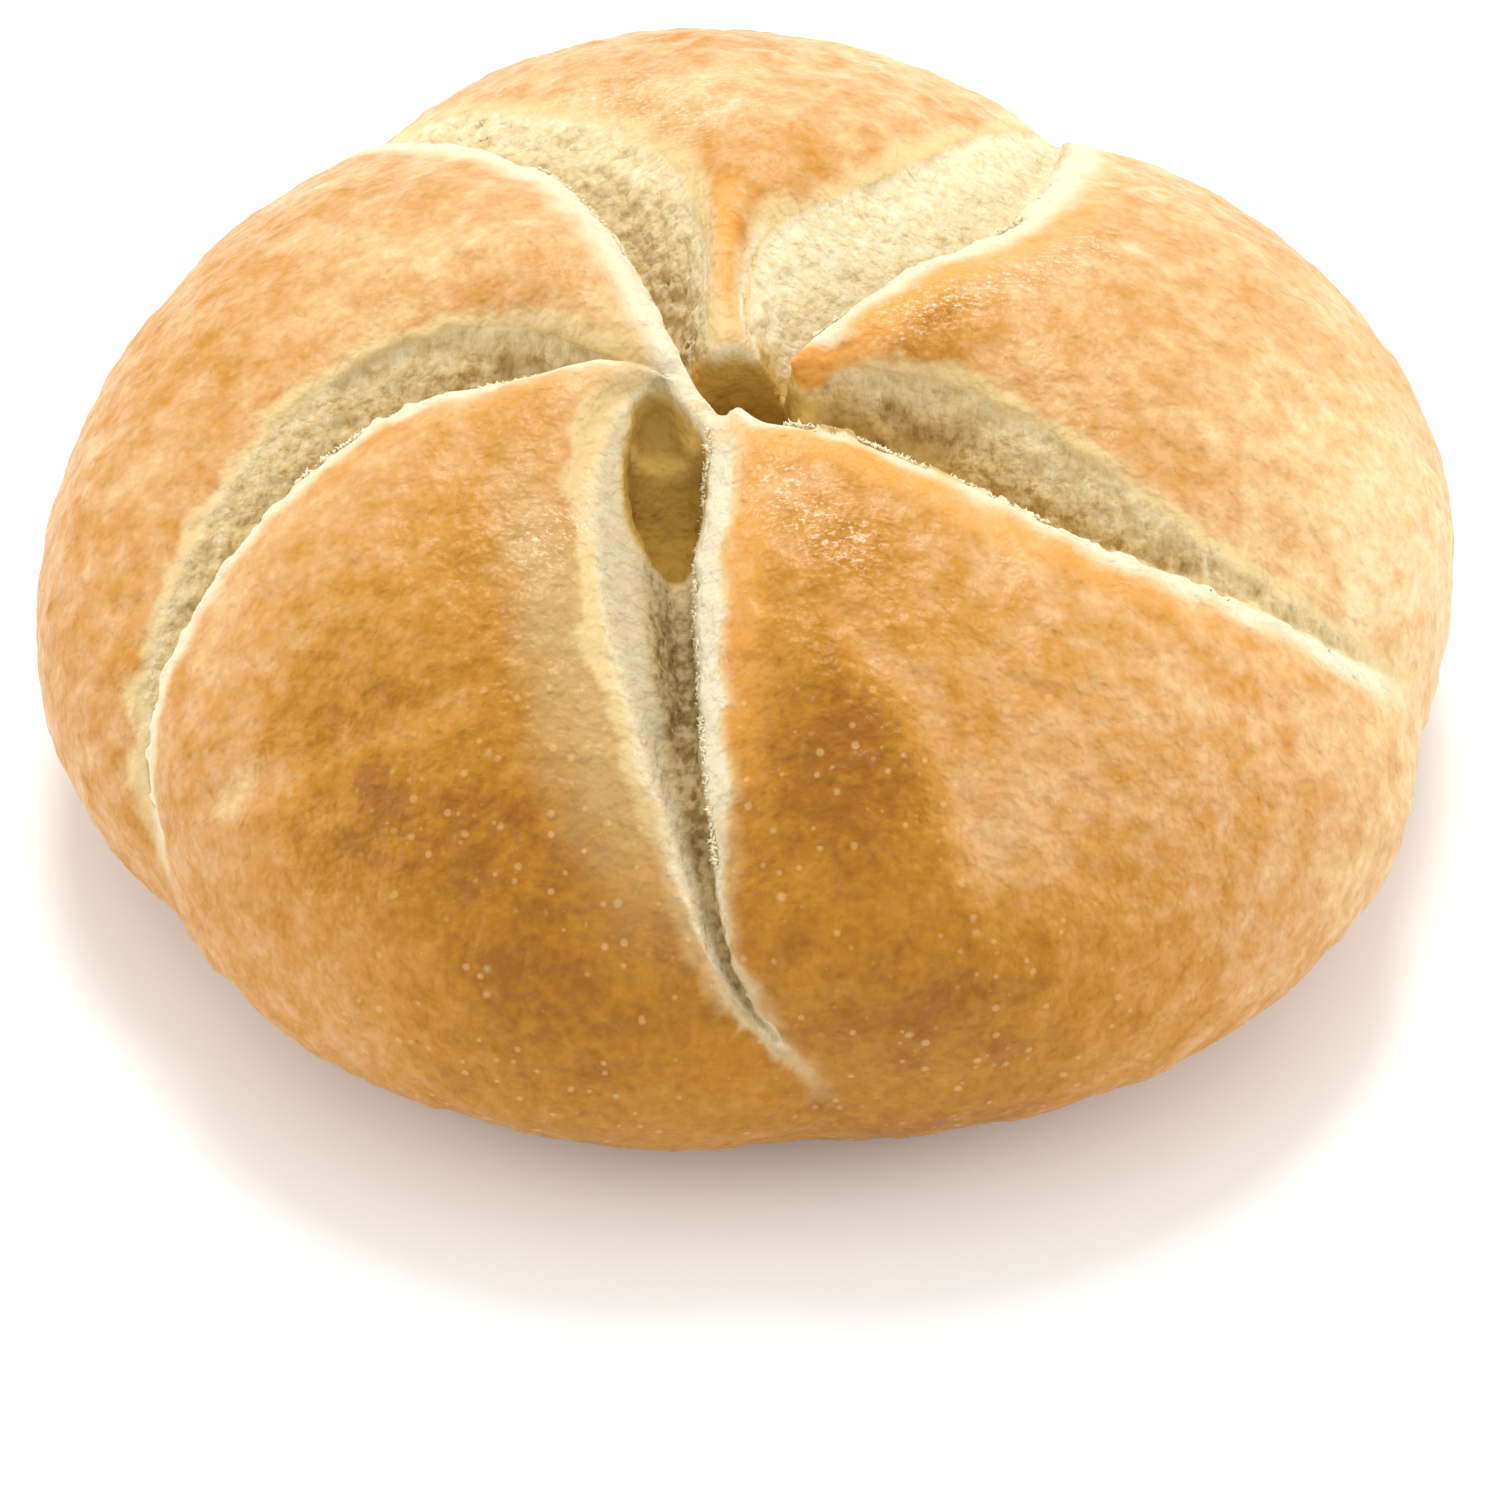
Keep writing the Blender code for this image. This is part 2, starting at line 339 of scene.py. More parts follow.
def cut_depths(cut, radius, bearing, climb, ragged):
    """How deep a cut is at each point, and how steeply its wall falls there."""
    far, near = lip_distances(cut, radius, bearing, climb)
    far = far + 0.5 * ragged * smooth_step(18, 32, climb)
    near = near + ragged
    width = np.maximum(far + near, 0.05)
    share = far / width
    start, end = cut["open"]
    taper = smooth_step(start - 2, start + 2, climb) if start > 0 else 1.0
    most = looked_up(cut, "depth", climb) * taper * smooth_step(end + 2, end - 8, climb)
    most = np.minimum(most, 1.5 * width)
    inside = (far > 0) & (near > 0)
    depth = np.where(inside, wall_shape(cut, share, climb) * most, 0)
    step = 0.02
    rise = wall_shape(cut, share + step, climb) - wall_shape(cut, share - step, climb)
    slope = np.where(inside, rise / (2 * step) * most / width, 0)
    return depth, slope


def crumb_roughness(points):
    """The torn crumb's relief: small knobs, and streaks that run down the walls."""
    drawn = points * [1.0, 1.0, 0.4]
    streaks = 0.2 * noise(drawn, 0.7, 11.0) + 0.18 * noise(drawn, 1.4, 5.0)
    return streaks + 0.12 * noise(points, 0.75, 2.0) + 0.24 * noise(points, 2.6, 9.0)


def z_of(points):
    return points[:, 2]


ROUNDING = 0.9


def smooth_max(a, b):
    h = np.clip(0.5 + 0.5 * (a - b) / ROUNDING, 0, 1)
    return b + (a - b) * h + ROUNDING * h * (1 - h)


def pit(x, y, z, middle, half_size, depth):
    """Above zero in a pit with upright sides and a rounded foot."""
    across = np.abs(x - middle[0]) / half_size[0]
    along = np.abs(y - middle[1]) / half_size[1]
    down = np.abs(np.minimum(z - (CROWN - depth / 2), 0)) / (depth / 2)
    return (1 - (across**3 + along**3 + down**3) ** (1 / 3)) * min(half_size)


def hollow_field(points):
    """Above zero in the hole in the crown, and in the pocket on the other side of the ridge."""
    x = points[:, 0] - STAR_AXIS[0]
    y = points[:, 1] - STAR_AXIS[1]
    z = points[:, 2]
    hole = pit(x, y, z, HOLE_MIDDLE, HOLE_HALF_SIZE, HOLE_DEPTH)
    depth = np.interp(POCKET_MIDDLE[1] - y, (-POCKET_HALF_SIZE[1], POCKET_HALF_SIZE[1]), POCKET_DEPTHS)
    pocket = pit(x, y, z, POCKET_MIDDLE, POCKET_HALF_SIZE, depth)
    run = np.array(RIDGE_END) - np.array(RIDGE_START)
    length = np.hypot(*run)
    run = run / length
    dx, dy = x - RIDGE_START[0], y - RIDGE_START[1]
    beside = dx * run[1] - dy * run[0]
    reach = dx * run[0] + dy * run[1]
    crest = CROWN + RIDGE_TOP - RIDGE_FALL * np.clip(reach, 0, length)
    half = RIDGE_HALF_WIDTH + 0.2 * np.maximum(crest - z, 0)
    pocket = np.minimum(pocket, beside - half)
    hole = np.minimum(hole, -beside - half)
    above = np.minimum(z - crest, 1.8 - np.abs(beside))
    above = np.minimum(above, np.minimum(reach, length - reach))
    return np.maximum(np.maximum(hole, pocket), above)


def dough_field(points, fine):
    """Below zero inside the dough, and about the distance from its surface in millimetres."""
    radius, bearing, climb = star_coordinates(points)
    shares, _ = lobe_shares(bearing, climb)
    skin = outside_dome(points) - swelling(shares, climb)
    depth = np.zeros(len(points))
    slope = np.zeros(len(points))
    tear = np.zeros(len(points))
    ragged = 0.0
    if fine:
        ragged = 0.32 * noise(points, 0.75, 3.0) + 0.3 * noise(points, 1.9, 7.0)
    for cut in CUTS:
        d, s = cut_depths(cut, radius, bearing, climb, ragged)
        deeper = d > depth
        slope = np.where(deeper, s, slope)
        tear = np.where(deeper, cut["tear"], tear)
        depth = np.maximum(depth, d)
    if fine:
        torn = depth > 0.3
        depth[torn] += np.clip(depth[torn] - 0.3, 0, 1) * tear[torn] * crumb_roughness(points[torn])
    field = (skin + depth) / np.sqrt(1 + slope * slope)
    hollow = hollow_field(points)
    if fine:
        walls = np.abs(hollow) < 1
        hollow[walls] += 0.22 * noise(points[walls], 0.9, 11.0)
    field = smooth_max(field, hollow)
    return np.maximum(field, -z_of(points))


def sampled_field():
    """The field on the fine grid, worked out only in the blocks near the surface."""
    low, high = np.array(GRID_LOW), np.array(GRID_HIGH)
    blocks = np.ceil((high - low) / (GRID_STEP * BLOCK)).astype(int)
    nodes = [np.arange(n + 1) * GRID_STEP * BLOCK + lo for n, lo in zip(blocks, low)]
    corner = np.stack(np.meshgrid(*nodes, indexing="ij"), -1).reshape(-1, 3)
    coarse = dough_field(corner, False).reshape([n + 1 for n in blocks]) < 0
    same = np.zeros(blocks, int)
    for i in (0, 1):
        for j in (0, 1):
            for k in (0, 1):
                part = coarse[i : blocks[0] + i, j : blocks[1] + j, k : blocks[2] + k]
                same += part
    active = (same > 0) & (same < 8)
    grown = np.pad(active, 1)
    near = np.zeros_like(active)
    for i in range(3):
        for j in range(3):
            for k in range(3):
                near |= grown[i : i + blocks[0], j : j + blocks[1], k : k + blocks[2]]
    field = np.where(same == 8, -1.0, 1.0).astype(np.float32)
    for axis in range(3):
        field = np.repeat(field, BLOCK, axis=axis)
    offsets = np.stack(np.meshgrid(*[np.arange(BLOCK)] * 3, indexing="ij"), -1).reshape(-1, 3)
    where = np.argwhere(near)
    index = (where[:, None, :] * BLOCK + offsets).reshape(-1, 3)
    values = dough_field(index * GRID_STEP + low, True)
    field[index[:, 0], index[:, 1], index[:, 2]] = values
    return field, low


def surface_net(field, low):
    """Vertices and quads of the surface at zero: one vertex for each grid cell that it crosses."""
    inside = field < 0
    nx, ny, nz = field.shape
    count = np.zeros((nx - 1, ny - 1, nz - 1), np.int8)
    steps = [(i, j, k) for i in (0, 1) for j in (0, 1) for k in (0, 1)]
    for i, j, k in steps:
        count += inside[i : nx - 1 + i, j : ny - 1 + j, k : nz - 1 + k]
    cells = np.argwhere((count > 0) & (count < 8))
    values = np.stack([field[tuple((cells + s).T)] for s in steps], 1)
    total = np.zeros((len(cells), 3))
    crossings = np.zeros(len(cells))
    for a in range(8):
        for b in range(a + 1, 8):
            start, end = np.array(steps[a]), np.array(steps[b])
            if np.abs(start - end).sum() != 1:
                continue
            va, vb = values[:, a], values[:, b]
            crossed = (va < 0) != (vb < 0)
            t = va[crossed] / (va[crossed] - vb[crossed])
            total[crossed] += start + t[:, None] * (end - start)
            crossings[crossed] += 1
    places = (cells + total / crossings[:, None]) * GRID_STEP + low
    number = np.full(count.shape, -1, np.int32)
    number[tuple(cells.T)] = np.arange(len(cells))
    quads = []
    for axis in range(3):
        one = np.eye(3, dtype=int)[axis]
        sides = np.eye(3, dtype=int)[(axis + 1) % 3], np.eye(3, dtype=int)[(axis + 2) % 3]
        cut = [slice(None, -1) if i == axis else slice(1, -1) for i in range(3)]
        shifted = [slice(1, None) if i == axis else slice(1, -1) for i in range(3)]
        here, there = inside[tuple(cut)], inside[tuple(shifted)]
        base = np.array([0 if i == axis else 1 for i in range(3)])
        for falling in (True, False):
            found = np.argwhere((here & ~there) if falling else (~here & there)) + base
            ring = [found - sides[0] - sides[1], found - sides[1], found, found - sides[0]]
            corner = np.stack([number[tuple(c.T)] for c in ring], 1)
            quads.append(corner if falling else corner[:, ::-1])
    return places, np.concatenate(quads)


def vertex_normals(places, faces):
    a, b, c, d = (places[faces[:, i]] for i in range(4))
    normal = np.cross(c - a, d - b)
    total = np.zeros_like(places)
    for i in range(faces.shape[1]):
        for k in range(3):
            total[:, k] += np.bincount(faces[:, i], normal[:, k], len(places))
    return total / np.maximum(np.linalg.norm(total, axis=1), 1e-12)[:, None]


def relaxed(places, faces, share):
    """Each vertex moved this share of the way to the middle of its neighbours."""
    total = np.zeros_like(places)
    for a, b in ((0, 1), (1, 2), (2, 3), (3, 0)):
        for k in range(3):
            total[:, k] += np.bincount(faces[:, a], places[faces[:, b], k], len(places))
            total[:, k] += np.bincount(faces[:, b], places[faces[:, a], k], len(places))
    count = np.zeros(len(places))
    for i in range(4):
        count += 2 * np.bincount(faces[:, i], minlength=len(places))
    return places + (total / count[:, None] - places) * share


def surface_points(bearing, climb):
    """Where rays from the star's centre leave the dough."""
    b, c = np.radians(bearing), np.radians(climb)
    ray = np.stack([np.sin(c) * np.cos(b), np.sin(c) * np.sin(b), np.cos(c)], 1)
    centre = np.array([STAR_AXIS[0], STAR_AXIS[1], STAR_CENTRE_HEIGHT])
    low, high = np.zeros(len(b)), np.full(len(b), 80.0)
    for _ in range(22):
        half = (low + high) / 2
        inside = dough_field(centre + ray * half[:, None], False) < 0
        low, high = np.where(inside, half, low), np.where(inside, high, half)
    return centre + ray * low[:, None], ray


def spots_in_cut(cut, count, shares, climbs):
    """Random points on a cut's surface, between these shares of the way from its far lip."""
    climb = rng.uniform(*climbs, count)
    share = rng.uniform(*shares, count)
    start = looked_up(cut, "clockwise_lip", climb)
    end = looked_up(cut, "anticlockwise_lip", climb)
    if cut["near"] == "clockwise_lip":
        share = 1 - share
    return surface_points(start + (end - start) * share, climb)


# Bubbles in the crumb of each cut: how many, their shares of the way across, climbs, radii and how
# far out of the surface their middles lie, as a share of the radius
BUBBLES = (
    ("right", 70, (0.05, 0.8), (8, 72), (0.3, 0.5), 0.5),
    ("right", 5, (0.3, 0.6), (13, 40), (1.3, 2.2), 0.85),
    ("right", 10, (0.2, 0.7), (14, 60), (0.7, 1.1), 0.7),
    ("back_right", 50, (0.1, 0.8), (8, 60), (0.28, 0.5), 0.5),
    ("back_left", 200, (0.15, 0.85), (10, 66), (0.28, 0.55), 0.3),
    ("left", 110, (0.1, 0.85), (18, 78), (0.3, 0.55), 0.4),
    ("left", 8, (0.2, 0.6), (25, 50), (0.7, 1.1), 0.7),
    ("front", 40, (0.45, 0.8), (27, 78), (0.3, 0.5), 0.4),
    ("front", 3, (0.5, 0.7), (56, 63), (0.6, 0.8), 0.3),
    ("front", 20, (0.05, 0.42), (20, 66), (0.2, 0.35), 0.5),
)
# Knobs of torn crumb along each cut's lips, in the same order
KNOBS = (
    ("right", 110, (0.92, 1.02), (10, 74), (0.2, 0.5), -0.45),
    ("right", 240, (0.93, 1.05), (12.5, 17.0), (0.15, 0.36), 1.0),
    ("back_right", 70, (0.93, 1.01), (12, 64), (0.2, 0.45), -0.45),
    ("back_left", 60, (0.1, 0.6), (12, 62), (0.2, 0.4), -0.4),
    ("left", 110, (0.93, 1.02), (17, 78), (0.2, 0.45), -0.45),
)


def spheres(groups):
    """The middles and radii of the groups' bubbles or knobs."""
    middles, radii = [], []
    for name, count, shares, climbs, sizes, out in groups:
        cut = next(c for c in CUTS if c["name"] == name)
        place, ray = spots_in_cut(cut, count, shares, climbs)
        radius = rng.uniform(*sizes, count)
        middles.append(place + ray * (out * radius)[:, None])
        radii.append(radius)
    return np.concatenate(middles), np.concatenate(radii)


def stamp(field, low, middles, radii, carve):
    """Carve rounded lumps out of the field, or add them to it."""
    for middle, radius in zip(middles, radii):
        stretch = rng.uniform(0.7, 1.35, 3)
        reach = radius * 1.4 + 0.6
        start = np.floor((middle - reach - low) / GRID_STEP).astype(int)
        end = np.ceil((middle + reach - low) / GRID_STEP).astype(int) + 1
        part = tuple(slice(a, b) for a, b in zip(start, end))
        axes = [
            (np.arange(a, b) * GRID_STEP + lo - m) / k
            for a, b, lo, m, k in zip(start, end, low, middle, stretch)
        ]
        away = np.sqrt(
            axes[0][:, None, None] ** 2 + axes[1][None, :, None] ** 2 + axes[2][None, None, :] ** 2
        )
        if carve:
            field[part] = np.maximum(field[part], radius - away)
        else:
            field[part] = np.minimum(field[part], away - radius)


def nearest_line(points, line):
    """Each point's distance from a line on the crust through these bearings and climbs."""
    bearing = np.interp(np.linspace(0, 1, 12), np.linspace(0, 1, len(line)), [p[0] for p in line])
    climb = np.interp(np.linspace(0, 1, 12), np.linspace(0, 1, len(line)), [p[1] for p in line])
    places, _ = surface_points(bearing, climb)
    best = np.full(len(points), 1e9)
    for a, b in zip(places[:-1], places[1:]):
        t = np.clip((points - a) @ (b - a) / ((b - a) @ (b - a)), 0, 1)
        best = np.minimum(best, np.linalg.norm(points - a - t[:, None] * (b - a), axis=1))
    return best


# Dents and creases in the crust: the bearings and climbs that each follows, its half width and its
# depth, below zero where it stands up
CREASES = (
    (((291, 36), (296, 47), (297, 62)), 1.8, 0.55),
    (((214, 70), (222, 60), (233, 50)), 1.5, 0.35),
    (((220, 55), (221, 56)), 6.0, 0.8),
    (((301, 52), (306, 66)), 5.0, 0.5),
    (((284, 40), (286, 50)), 6.0, -0.5),
    (((140, 30), (150, 45)), 3.0, -0.3),
)


def crust_relief(places):
    """How far the crust stands out of the smooth form at each point."""
    relief = 0.3 * noise(places, 13.0, 1.0) + 0.2 * noise(places, 6.0, 4.0)
    relief += 0.15 * noise(places, 2.8, 6.0) + 0.14 * noise(places, 1.3, 8.0)
    for line, half_width, depth in CREASES:
        relief -= depth * np.exp(-((nearest_line(places, line) / half_width) ** 2))
    return relief


def make_roll():
    field, low = sampled_field()
    middles, radii = spheres(BUBBLES)
    stamp(field, low, middles, radii, True)
    middles, radii = spheres(KNOBS)
    stamp(field, low, middles, radii, False)
    places, quads = surface_net(field, low)
    for _ in range(2):
        places = relaxed(places, quads, 0.5)
    places[:, 2] = np.maximum(places[:, 2], 0)
    on_crust = 1 - smooth_step(0.1, 0.6, -skin_distance(places))
    on_crust = on_crust * smooth_step(0.3, 3.0, places[:, 2])
    places += vertex_normals(places, quads) * (on_crust * crust_relief(places))[:, None]
    return places, quads


def mesh_of(name, places, faces):
    mesh = bpy.data.meshes.new(name)
    mesh.vertices.add(len(places))
    mesh.vertices.foreach_set("co", places.astype(np.float32).ravel())
    mesh.loops.add(faces.size)
    mesh.loops.foreach_set("vertex_index", faces.astype(np.int32).ravel())
    mesh.polygons.add(len(faces))
    mesh.polygons.foreach_set("loop_start", np.arange(len(faces)) * faces.shape[1])
    mesh.polygons.foreach_set("loop_total", np.full(len(faces), faces.shape[1]))
    mesh.update(calc_edges=True)
    mesh.validate()
    return mesh


places, quads = make_roll()
middle = (places.min(0) + places.max(0)) / 2
places = places - [middle[0], middle[1], 0]

mesh = mesh_of("roll_crust_and_crumb", places * MM, quads)
roll = bpy.data.objects.new("roll_crust_and_crumb", mesh)
bpy.context.scene.collection.objects.link(roll)
fewer = roll.modifiers.new("fewer", "DECIMATE")
fewer.ratio = min(1.0, MOST_TRIANGLES / (2 * len(quads)))
fewer.use_collapse_triangulate = True
depsgraph = bpy.context.evaluated_depsgraph_get()
reduced = bpy.data.meshes.new_from_object(roll.evaluated_get(depsgraph))
roll.modifiers.clear()
roll.data = reduced
mesh = reduced
mesh.validate()
mesh.shade_smooth()


def own_attribute(mesh, name, values):
    attribute = mesh.attributes.new(name, "FLOAT", "POINT")
    attribute.data.foreach_set("value", values.astype(np.float32))


# The crust's browning, from the middle browning: real browning together with painted shading, the
# front lobes painted darker as shade and the back and top painted paler as light. Bearing, climb,
# size in millimetres and amount
MIDDLE_BROWN = 0.4
BROWNING_AND_PAINTED_SHADING = (
    # the front right lobe
    ((298, 28), 7, 0.3),
    ((285, 47), 9, 0.42),
    ((283, 66), 11, 0.25),
    ((289, 84), 16, 0.45),
    ((312, 75), 9, 0.15),
    ((303, 60), 6, -0.15),
    # the front left lobe
    ((252, 61), 11, 0.42),
    ((238, 40), 7, 0.25),
    ((251, 82), 15, 0.35),
    ((226, 58), 9, 0.42),
    ((214, 38), 9, 0.12),
    ((205, 78), 14, 0.08),
    # the left lobe
    ((140, 42), 9, -0.1),
    # the back lobe
    ((60, 60), 20, -0.15),
    ((115, 65), 16, -0.02),
    ((90, 26), 7, 0.2),
    # the right lobe
    ((5, 68), 15, -0.3),
    ((350, 80), 15, -0.15),
    ((18, 20), 6, 0.35),
    ((12, 9), 3, 0.2),
)
# The right lobe's rounded tip keeps its crust down its side, and the left lobe's is pale all over.
NOSE = (STAR_AXIS[0] + 5.1, STAR_AXIS[1] + 0.8, CROWN - 0.2)
NOSE_SIZE = 2.2
NOSE_SQUASH = (1.0, 1.0, 1.25)
PALE_TIP = (168, 13)
# Torn white patches on the lips, with their sizes
TORN_LIPS = (
    ((246, 6.5), 1.7),
    ((175, 26), 2.0),
    ((177, 31), 2.2),
    ((332, 25), 1.6),
    ((333.5, 32), 2.0),
    ((335, 39), 1.6),
)
TONGUE_END = (98, 8.5)
# The orange stripe down the back lobe's tongue, and the lines along which pale streaks are painted as
# highlights of glossy wrinkles, with their sizes
TONGUE = ((96, 12), (93, 28))
PAINTED_GLINT_LINES = (
    (((20, 19), (32, 46)), 2.2),
    (((284, 18), (297, 28)), 2.8),
    (((229, 18), (226, 32)), 2.4),
    (((95, 44), (105, 52)), 5.0),
)


def patch(places, middle, size):
    """A soft round patch about this bearing and climb on the surface."""
    centre, _ = surface_points(np.array([float(middle[0])]), np.array([float(middle[1])]))
    away = np.linalg.norm(places - centre[0], axis=1)
    return np.exp(-((away / size) ** 2))


# Real browning together with painted shade on the front lobes and painted light on the back and top
def browning_and_painted_shading(places):
    brown_and_painted_shading = np.full(len(places), MIDDLE_BROWN)
    for middle, size, amount in BROWNING_AND_PAINTED_SHADING:
        brown_and_painted_shading += amount * patch(places, middle, size)
    for line, half_width, depth in CREASES[:2]:
        brown_and_painted_shading -= 0.3 * np.exp(-((nearest_line(places, line) / half_width) ** 2))
    return brown_and_painted_shading


def describe(mesh):
    """Say of each vertex what it is made of, and where light and shade are painted on it, for the material to
    read.
    """
    places = np.empty(len(mesh.vertices) * 3, np.float32)
    mesh.vertices.foreach_get("co", places)
    places = places.reshape(-1, 3) / MM + [middle[0], middle[1], 0]
    radius, bearing, climb = star_coordinates(places)
    skin = skin_distance(places)
    sunk = -skin + np.minimum(crust_relief(places), 0)
    crumb = smooth_step(0.12, 0.45, sunk + 0.12 * noise(places, 0.9, 3.0))
    crumb *= smooth_step(0.3, 2.0, places[:, 2])
    cut_open = smooth_step(-1.2, -0.6, hollow_field(places))
    nose = np.linalg.norm((places - np.array(NOSE)) * NOSE_SQUASH, axis=1) + 0.35 * noise(places, 0.9, 1.0)
    crumb *= 1 - smooth_step(NOSE_SIZE, 0.8 * NOSE_SIZE, nose)
    nose = smooth_step(1.2 * NOSE_SIZE, 0.8 * NOSE_SIZE, nose)
    pale = np.maximum(0.65 * patch(places, PALE_TIP, 5.5), patch(places, TONGUE_END, 1.6))
    bright = np.zeros(len(places))
    crumb_tone_and_shade = np.zeros(len(places))
    hollow = np.zeros(len(places))
    orange = np.maximum(nose, np.exp(-((nearest_line(places, TONGUE) / 1.0) ** 2)))
    for cut in CUTS:
        far, near = lip_distances(cut, radius, bearing, climb)
        start, end = cut["open"]
        along = smooth_step(start - 3, start + 2, climb) if start > 0 else 1.0
        along = along * smooth_step(end + 4, end - 6, climb)
        cut_open = np.maximum(cut_open, along * smooth_step(-0.7, -0.2, np.minimum(far, near)))
        outside_far = np.where(near > 0, -far, 99)
        outside_near = np.where(far > 0, -near, 99)
        wobble = 0.8 * noise(places, 2.0, 5.0) + 0.3 * noise(places, 0.8, 2.0)
        far_band, near_band = cut["pale_bands"]
        band = smooth_step(far_band, 0.2, outside_far + 0.8 * wobble) * (outside_far < 9)
        if cut["name"] == "front":
            along = along * (1 - 0.6 * smooth_step(48, 60, climb))
        pale = np.maximum(pale, along * band)
        band = smooth_step(near_band, 0.2, outside_near + 0.8 * wobble) * (outside_near < 9)
        pale = np.maximum(pale, along * band)
        band = smooth_step(near_band + 2.8, near_band + 1.0, outside_near + wobble) * (outside_near < 9)
        orange = np.maximum(orange, along * band * cut["orange"] * smooth_step(75, 25, climb))
        within, beyond = cut["lip_band"]
        edge = smooth_step(beyond + 0.3, 0.3 * beyond, outside_near + 0.7 * wobble) * (outside_near < 9)
        edge = edge * smooth_step(-within - 0.4, -within + 0.3, outside_near + 0.4 * wobble)
        bright = np.maximum(bright, along * edge * smooth_step(3.5, 2.0, -skin))
        inside = (far > -0.5) & (near > -0.5)
        crumb_tone_and_shade = np.where(inside, np.maximum(crumb_tone_and_shade, cut["crumb_tone_and_shade"]), crumb_tone_and_shade)
        # Painted shade: below the cut's shade depth the crumb is given the darker colour of the hollows
        painted_depth_shade = 0.8 * smooth_step(cut["shade"], cut["shade"] + 2.0, -skin)
        if cut["name"] == "front":
            share = far / np.maximum(far + near, 0.05)
            # Painted shade on the front cut's floor, with real pores
            trough_pores_and_shade = smooth_step(0.3, 0.42, share) * smooth_step(0.84, 0.72, share)
            trough_pores_and_shade = trough_pores_and_shade * smooth_step(0.3, 0.8, -skin) * smooth_step(16, 40, climb)
            trough_pores_and_shade = trough_pores_and_shade * inside
            grey = smooth_step(0.5, 1.5, far) * smooth_step(0.6, 0.4, share) * smooth_step(10, 16, climb)
            grey = grey * inside
            painted_depth_shade = painted_depth_shade * smooth_step(30, 50, climb)
        hollow = np.where(inside, np.maximum(hollow, painted_depth_shade), hollow)
        # Painted shadow: the crumb just behind the right cut's near lip is painted darker
        if cut["name"] == "right":
            painted_shadow_behind_lip = 0.8 * smooth_step(6.0, 3.5, near) * smooth_step(10, 14, climb) * inside
            painted_shadow_behind_lip = painted_shadow_behind_lip * smooth_step(36, 24, climb)
        if cut["name"] == "front":
            # Painted shade: a greener, darker strip on the crust beside the front cut's far lip, where it
            # curves into the cut
            olive_painted_shade = smooth_step(7.5, 2.0, outside_far + 1.5 * wobble) * (outside_far < 12)
            olive_painted_shade = olive_painted_shade * smooth_step(22, 34, climb) * smooth_step(74, 50, climb)
    # The hole and pocket walls, and the crumb deep near the hole, get the darker colour of the hollows: partly
    # the hole's own greener crust, partly painted shade
    hole_x = places[:, 0] - STAR_AXIS[0] - HOLE_MIDDLE[0]
    hole_y = places[:, 1] - STAR_AXIS[1] - HOLE_MIDDLE[1]
    around_hole = smooth_step(7.0, 4.5, np.hypot(hole_x, hole_y))
    pitted = smooth_step(-0.7, -0.25, hollow_field(places)) * smooth_step(1.0, 2.4, CROWN - places[:, 2])
    hollow = np.maximum(hollow, np.maximum(pitted, around_hole * smooth_step(1.0, 2.6, -skin)))
    hollow = np.maximum(hollow, painted_shadow_behind_lip)
    north = places[:, 1] - STAR_AXIS[1]
    # The hole's back wall: crumb with the hollows' colour, partly painted darker as shade
    back_wall = around_hole * smooth_step(1.4, 2.4, CROWN - places[:, 2])
    back_wall = back_wall * smooth_step(0.5, 1.5, north) * smooth_step(3.4, 2.4, np.abs(hole_x))
    hollow = np.maximum(hollow, back_wall)
    crumb = np.maximum(crumb, back_wall)
    cut_open = np.maximum(cut_open, back_wall)
    # Painted shade: the pocket's far end, and less so the hole, painted darker
    pocket_painted_shade = smooth_step(-3.0, -4.6, north) + 0.4 * smooth_step(-2.8, -2.2, north)
    pale = pale * (1 - nose)
    for middle_of_patch, size in TORN_LIPS:
        bright = np.maximum(bright, patch(places, middle_of_patch, size))
    bright = bright * (1 - nose)
    # Painted highlights: how near each point lies to a line of painted glints
    painted_glints = np.zeros(len(places))
    for line, size in PAINTED_GLINT_LINES:
        painted_glints = np.maximum(painted_glints, np.exp(-((nearest_line(places, line) / size) ** 2)))
    front = smooth_step(40, 0, np.abs(bearing + 90) - 20) * smooth_step(25, 50, climb)
    own_attribute(mesh, "crumb", np.maximum(crumb * cut_open, bright))
    own_attribute(mesh, "pale", pale)
    own_attribute(mesh, "bright", bright * (1 - hollow))
    # Partly painted shade: each cut's crumb tone, painted darker still the deeper the crumb lies in the cut
    own_attribute(mesh, "deep", crumb_tone_and_shade * (0.5 + 0.5 * np.clip(-skin / 4.0, 0, 1)))
    # Partly painted shade: where the crumb takes the darker colour of the hollows
    own_attribute(mesh, "hollow", hollow)
    # Painted shade: how much darker still the hollows' colour is painted in the pocket, on the hole's back wall
    # and behind the right cut's near lip
    own_attribute(mesh, "painted_pit_shade", np.maximum(pitted * pocket_painted_shade, np.maximum(painted_shadow_behind_lip, 0.4 * back_wall)))
    # The front cut's floor: real pores and painted shade
    own_attribute(mesh, "trough_pores_and_shade", trough_pores_and_shade * (1 - pitted))
    own_attribute(mesh, "orange", orange)
    # Painted shade: the strip beside the front cut, and a patch on the left lobe's pale tip where it faces the
    # light
    own_attribute(mesh, "olive_painted_shade", np.maximum(olive_painted_shade, patch(places, PALE_TIP, 4.0)))
    own_attribute(mesh, "grey", grey)
    own_attribute(mesh, "painted_glints", painted_glints)
    own_attribute(mesh, "brown_and_painted_shading", browning_and_painted_shading(places) + 0.25 * smooth_step(84, 105, climb))
    flank = smooth_step(50, 72, climb) * smooth_step(50, 20, np.abs(bearing - 30))
    own_attribute(mesh, "calm", np.maximum(flank, front))
    own_attribute(mesh, "blisters", front)


